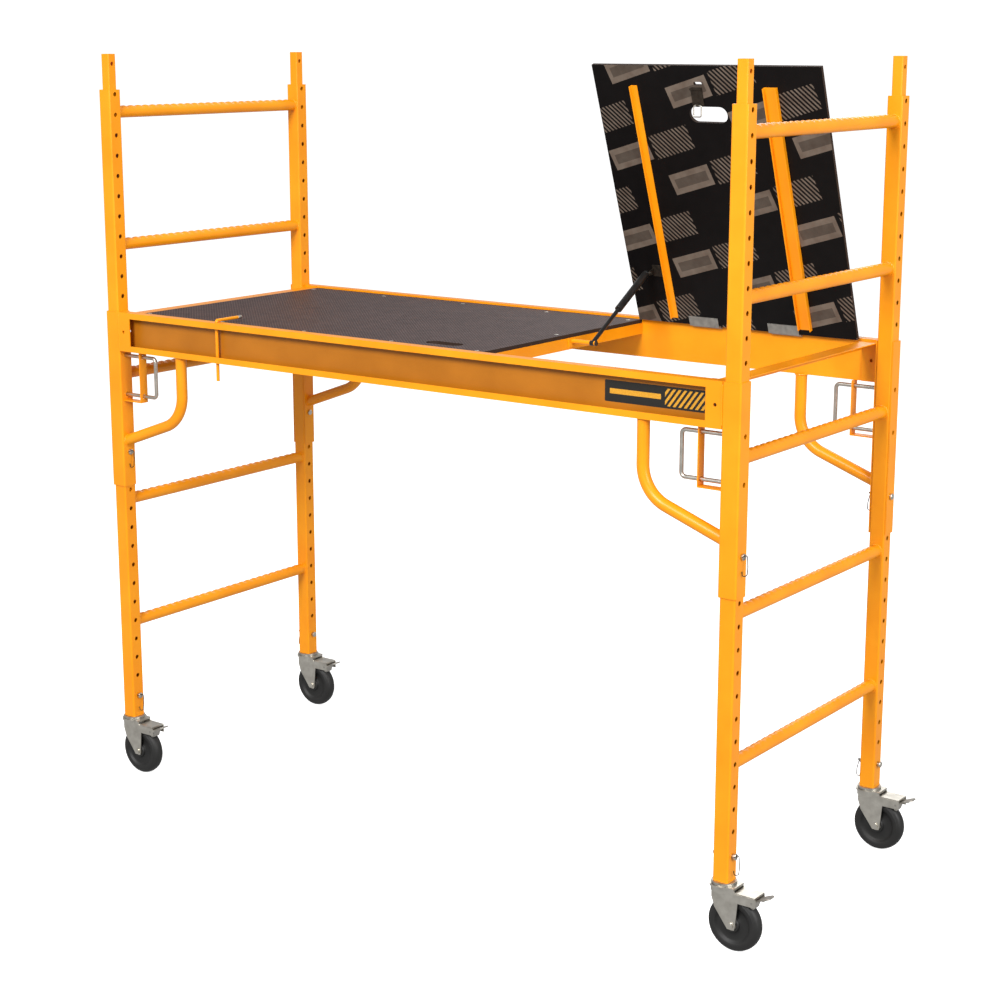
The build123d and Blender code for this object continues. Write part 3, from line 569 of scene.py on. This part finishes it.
# --- Deck screws ---
# Countersunk self-drilling screws, heads level with the film, bright zinc plated.
bm = bmesh.new()
for low, high in node_solids("deck_screws"):
    middle = Vector(((low.x + high.x) / 2, (low.y + high.y) / 2, low.z))
    head = (high.x - low.x) / 2
    lathe(bm, [
        (0, 0), (0, head * 0.9), (0.0013, head), (0.0017, head * 0.94), (0.0021, head * 0.55),
        (0.0021, head * 0.34), (0.0009, head * 0.16), (0.0009, 0),
    ], middle, (0, 0, 1), steps=24)
save_piece("countersunk_deck_screws", bm, ZINC, "frame", "deck_screws")


# --- Rail sticker ---
# A printed vinyl sticker on the front rail's web: black with plain amber bands and slanted
# stripes, no lettering.
def printed_vinyl(low_x, low_z, width, height):
    """Black vinyl with a plain amber bar and a patch of slanted stripes."""
    material, where = start_material("printed_vinyl")
    local = add(material, "ShaderNodeVectorMath", [(0, where), (1, (low_x, 0, low_z))],
                operation="SUBTRACT").outputs[0]
    place = add(material, "ShaderNodeSeparateXYZ", [("Vector", local)]).outputs
    lean = calculate(material, "SUBTRACT", place["X"], calculate(material, "MULTIPLY", place["Z"], 0.75))
    stripes = calculate(material, "GREATER_THAN", calculate(material, "PINGPONG", lean, 0.0068), 0.0034)
    patch = calculate(material, "MULTIPLY", within(material, place["X"], width * 0.60, width * 0.985),
                      within(material, place["Z"], height * 0.1, height * 0.9))
    bar = calculate(material, "MULTIPLY", within(material, place["X"], width * 0.05, width * 0.56),
                    within(material, place["Z"], height * 0.38, height * 0.62))
    printed = calculate(material, "MAXIMUM", calculate(material, "MULTIPLY", stripes, patch), bar)
    wear = speckle(material, where, 420.0, detail=3.0)
    ink = ramp(material, wear, (0.3, "#1B1A18"), (0.7, "#262420"))
    amber = ramp(material, wear, (0.3, "#C98A1C"), (0.7, "#E0A534"))
    return finish_material(material, [
        ("Base Color", mix(material, printed, ink, amber)),
        ("Roughness", between(material, wear, 0.26, 0.36)), ("IOR", 1.46),
        ("Normal", bump(material, wear, 0.00003)),
    ])


web_face = rail_low[1] + 0.0225
sticker_right = rail_high[0] - 0.0495
sticker_width = 0.252
sticker_low = rail_low[2] + 0.025
sticker_height = 0.047
bm = bmesh.new()
bmesh.ops.create_grid(bm, x_segments=1, y_segments=1, size=0.5)
bmesh.ops.scale(bm, vec=(sticker_width, sticker_height, 1), verts=bm.verts)
corners = [vert for vert in bm.verts]
bmesh.ops.bevel(
    bm, geom=corners, offset=0.003, offset_type="OFFSET", affect="VERTICES", segments=4, profile=0.5,
    material=-1)
bmesh.ops.solidify(bm, geom=bm.faces[:], thickness=0.0002)
sticker_middle = (sticker_right - sticker_width / 2, web_face - 0.0001, sticker_low + sticker_height / 2)
place = Matrix.Translation(sticker_middle)
bmesh.ops.transform(bm, matrix=place @ Matrix.Rotation(math.radians(90), 4, "X"), verts=bm.verts)
VINYL = printed_vinyl(sticker_right - sticker_width, sticker_low, sticker_width, sticker_height)
save_piece("rail_sticker", bm, VINYL, "frame")


# --- Hatch panel ---
# The same plywood, hinged at the back. Its underside is black film printed all over with
# slanted grey blocks and hatching.
def printed_underside(material, flat, film):
    """Black film with rows of slanted plain blocks, each with a hatched patch beside it."""
    row_pitch = 0.100
    column_pitch = 0.36
    turned = add(material, "ShaderNodeMapping",
                 [("Vector", flat), ("Rotation", (0, 0, math.radians(-17)))]).outputs[0]
    place = add(material, "ShaderNodeSeparateXYZ", [("Vector", turned)]).outputs
    rows = calculate(material, "DIVIDE", place["Y"], row_pitch)
    row = calculate(material, "FLOOR", rows, 0.0)
    in_row = calculate(material, "SUBTRACT", rows, row)
    columns = calculate(material, "DIVIDE", place["X"], column_pitch)
    shifted = calculate(material, "ADD", columns, calculate(material, "MULTIPLY", row, 0.37))
    in_column = calculate(material, "FLOORED_MODULO", shifted, 1.0)

    def area(columns_from, columns_to, rows_from, rows_to):
        return calculate(material, "MULTIPLY", within(material, in_column, columns_from, columns_to),
                         within(material, in_row, rows_from, rows_to))

    lean = calculate(material, "ADD", place["X"], calculate(material, "MULTIPLY", place["Y"], 0.55))
    strokes = calculate(material, "GREATER_THAN", calculate(material, "PINGPONG", lean, 0.0052), 0.0029)
    patch = calculate(material, "MULTIPLY", strokes, area(0.37, 0.68, 0.20, 0.80))
    core = calculate(material, "MULTIPLY", area(0.05, 0.31, 0.38, 0.62), 0.45)
    plain = calculate(material, "SUBTRACT", area(0.02, 0.34, 0.24, 0.76), core)
    black = ramp(material, film, (0.3, "#050303"), (0.7, "#0A0707"))
    grey = ramp(material, film, (0.3, "#5E5147"), (0.7, "#71655A"))
    return mix(material, calculate(material, "MAXIMUM", plain, patch), black, grey)


hatch_joint = next(j for j in frame["record"]["behaviour"]["joints"] if j["name"] == "hatch_hinge")
hinge_y, hinge_z = hatch_joint["pos_m"][1:]
open_deg = abs(min(hatch_joint["range_deg"]))
HATCH_PLY = film_faced_ply("printed_film_faced_plywood", -0.0002, -0.0092, open_deg, (hinge_y, hinge_z),
                           printed_underside)
finish_node("hatch_panel", HATCH_PLY, edge=0.0004)

# --- Hatch stiffeners ---
# A roll-formed channel and an angle screwed under the hatch, powder coated yellow.
finish_node("hatch_stiffeners", POWDER, edge=0.0005)


# --- Hinges, bracket and latch ---
# Pressed strip steel: the hinges are dull zinc plated, the stay's bracket and the latch
# plate are dark oiled steel, and the latch has a bent wire pull.
def dull_zinc():
    """Dull zinc plate on a pressing: mid grey, cloudy, slightly rough from the tumbling drum."""
    material, where = start_material("dull_zinc_plated_pressing")
    cloud = speckle(material, where, 80.0, detail=4.0)
    grain = speckle(material, where, 900.0, detail=2.0)
    return finish_material(material, [
        ("Base Color", ramp(material, cloud, (0.25, "#A29E97"), (0.75, "#C4C0B8"))),
        ("Metallic", 1.0), ("Roughness", between(material, cloud, 0.36, 0.52)),
        ("Normal", bump(material, grain, 0.00005)),
    ])


DULL_ZINC = dull_zinc()
for node in ("hinge_moving_leaves", "hinge_fixed_leaves"):
    finish_node(node, DULL_ZINC, edge=0.0003)
for node in ("stay_hatch_bracket", "latch_plate"):
    finish_node(node, PHOSPHATED, edge=0.0003)
finish_node("latch_pull", ZINC)


# --- Gas stay ---
# A cylinder slides on a rod and holds the hatch open. Both are drawn steel in satin black;
# a hexagon bolt holds the lower eye on its stud, which is coated like the platform.
def black_enamel():
    """Satin black stoved enamel on a drawn tube, with faint lengthwise orange peel."""
    material, where = start_material("satin_black_enamel")
    peel = speckle(material, where, 380.0, detail=1.0)
    dust = speckle(material, where, 60.0, detail=4.0)
    return finish_material(material, [
        ("Base Color", ramp(material, dust, (0.3, "#121212"), (0.75, "#1E1D1C"))),
        ("Roughness", between(material, dust, 0.28, 0.42)), ("IOR", 1.5),
        ("Normal", bump(material, peel, 0.00006)),
    ])


ENAMEL = black_enamel()
finish_node("stay_tube", ENAMEL, edge=0.0004)
finish_node("stay_rod", ENAMEL)
finish_node("stay_stud", POWDER)
stud_low, stud_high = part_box("stay_stud")
bm = bmesh.new()
lathe(bm, [(0, 0), (0, 0.0062), (0.0004, 0.0066), (0.0030, 0.0066), (0.0036, 0.0060), (0.0036, 0)],
      (stud_high[0] - 0.001, (stud_low[1] + stud_high[1]) / 2, stud_high[2] - 0.007), (1, 0, 0), steps=6)
save_piece("stay_pivot_bolt", bm, ENAMEL, "frame")

# --- Caster stems and yokes ---
# Pressed yokes turn on a riveted kingpin under each stem; a bolt carries the wheel.
# Bright zinc on the yoke, duller on the stem flange and pedal.
finish_node("caster_stems", DULL_ZINC, edge=0.0006)
for corner in CORNERS:
    finish_node(f"caster_yoke_{corner}", ZINC, edge=0.0009)
    finish_node(f"brake_pedal_{corner}", DULL_ZINC, edge=0.0006)


# --- Wheels ---
# Solid charcoal rubber moulded round a plastic core, with a crowned tread, a raised ring
# on each face, and a hub with a sealed bearing.
def moulded_rubber():
    """Charcoal rubber with a fine moulded grain, paler dust in its low spots."""
    material, where = start_material("charcoal_moulded_rubber")
    grain = speckle(material, where, 520.0, detail=3.0)
    dust = speckle(material, where, 26.0, detail=5.0)
    return finish_material(material, [
        ("Base Color", ramp(material, dust, (0.3, "#0F0F0E"), (0.75, "#1B1A19"))),
        ("Roughness", between(material, dust, 0.46, 0.66)), ("IOR", 1.52),
        ("Normal", bump(material, grain, 0.00012)),
    ])


RUBBER = moulded_rubber()
for corner in CORNERS:
    low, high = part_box(f"caster_wheel_{corner}")
    centre = Vector([(a + b) / 2 for a, b in zip(low, high)])
    radius = (high[2] - low[2]) / 2
    half = 0.016
    hub = (high[1] - low[1]) / 2
    side = [
        (0.0041, hub - 0.0012), (0.0125, hub - 0.0012), (0.0132, hub), (0.0162, hub), (0.0171, hub - 0.0009),
        (0.0185, half - 0.0042), (0.0215, half - 0.0062), (0.0365, half - 0.0062), (0.0395, half - 0.0052),
        (0.0425, half - 0.0016), (0.0440, half - 0.0004), (0.0500, half), (0.0532, half - 0.0003),
        (0.0541, half - 0.0012), (0.0560, half - 0.0016), (0.0598, half - 0.0040), (0.0617, half - 0.0068),
        (0.0627, half - 0.0100), (0.0633, half - 0.0130),
    ]
    profile = [(y, r) for r, y in side] + [(0.0, radius)] + [(-y, r) for r, y in reversed(side)]
    profile.append(profile[0])
    bm = bmesh.new()
    lathe(bm, profile, centre, (0, 1, 0), steps=96)
    save_piece(f"moulded_wheel_{corner}", bm, RUBBER, f"wheel_{corner}", f"caster_wheel_{corner}")
    bm = bmesh.new()
    for facing in (-1, 1):
        lathe(bm, [
            (hub - 0.0014, 0.0052), (hub - 0.0002, 0.0052), (hub - 0.0002, 0.0074), (hub - 0.0006, 0.0082),
            (hub - 0.0006, 0.0104), (hub - 0.0002, 0.0110), (hub - 0.0002, 0.0122), (hub - 0.0014, 0.0124),
            (hub - 0.0014, 0.0052),
        ], centre, (0, facing, 0), steps=48)
    save_piece(f"wheel_bearings_{corner}", bm, DULL_ZINC, f"wheel_{corner}")


# --- Floor, light and camera ---
# A white paper floor, lit so that it runs into a white backdrop; three soft boxes and an
# even pale sky light the scaffold.
def lit_paper():
    """White paper sweep with its own backlight, so only contact shadows show on it."""
    material, where = start_material("backlit_white_paper")
    tone = speckle(material, where, 0.8, detail=2.0)
    return finish_material(material, [
        ("Base Color", ramp(material, tone, (0.3, "#E2E2E2"), (0.7, "#E6E6E6"))), ("Roughness", 0.9),
        ("Emission Color", (1.0, 1.0, 1.0, 1.0)), ("Emission Strength", 0.7),
    ])


bm = bmesh.new()
bmesh.ops.create_circle(bm, cap_ends=True, segments=64, radius=60.0)
mesh = bpy.data.meshes.new("floor")
bm.to_mesh(mesh)
bm.free()
mesh.materials.append(lit_paper())
floor = bpy.data.objects.new("floor", mesh)
bpy.context.scene.collection.objects.link(floor)
floor.visible_diffuse = False
floor.visible_glossy = False

world = bpy.data.worlds.new("soft sky")
world.use_nodes = True
sky = world.node_tree.nodes["Background"]
seen = world.node_tree.nodes.new("ShaderNodeLightPath").outputs["Is Camera Ray"]
strength = world.node_tree.nodes.new("ShaderNodeMapRange")
world.node_tree.links.new(seen, strength.inputs["Value"])
strength.inputs["To Min"].default_value = 0.5
strength.inputs["To Max"].default_value = 1.1
world.node_tree.links.new(strength.outputs["Result"], sky.inputs["Strength"])
sky.inputs["Color"].default_value = (1.0, 1.0, 1.0, 1.0)
bpy.context.scene.world = world
bpy.context.scene.view_settings.view_transform = "Standard"


def soft_box(name, place, target, size, power):
    light = bpy.data.lights.new(name, "AREA")
    light.shape = "DISK"
    light.size = size
    light.energy = power
    lamp = bpy.data.objects.new(name, light)
    lamp.location = place
    lamp.rotation_euler = (Vector(target) - Vector(place)).to_track_quat("-Z", "Y").to_euler()
    bpy.context.scene.collection.objects.link(lamp)


soft_box("key", (0.6, -5.4, 4.4), (0, 0, 1.0), 2.4, 390.0)
soft_box("fill", (5.4, -1.2, 3.0), (0, 0, 1.0), 3.0, 215.0)
soft_box("rim", (-1.5, 5.0, 4.2), (0, 0, 1.0), 3.0, 70.0)

left_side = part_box("lower_post_front_left")[0][0]
right_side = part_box("lower_post_front_right")[1][0]
between_posts = (left_side + right_side) / 2
azimuth = math.radians(36.55)
tilt = math.radians(12.40)
lens = bpy.data.cameras.new("camera")
lens.sensor_width = 36.0
lens.lens = 72.42
lens.shift_x = 0.0070
lens.shift_y = -0.0217
lens.clip_end = 200.0
camera = bpy.data.objects.new("camera", lens)
camera.location = (between_posts + 2.92795, -3.91011, 1.9356)
looking = Vector((-math.sin(azimuth) * math.cos(tilt), math.cos(azimuth) * math.cos(tilt), -math.sin(tilt)))
camera.rotation_euler = looking.to_track_quat("-Z", "Y").to_euler()
bpy.context.scene.collection.objects.link(camera)
bpy.context.scene.camera = camera
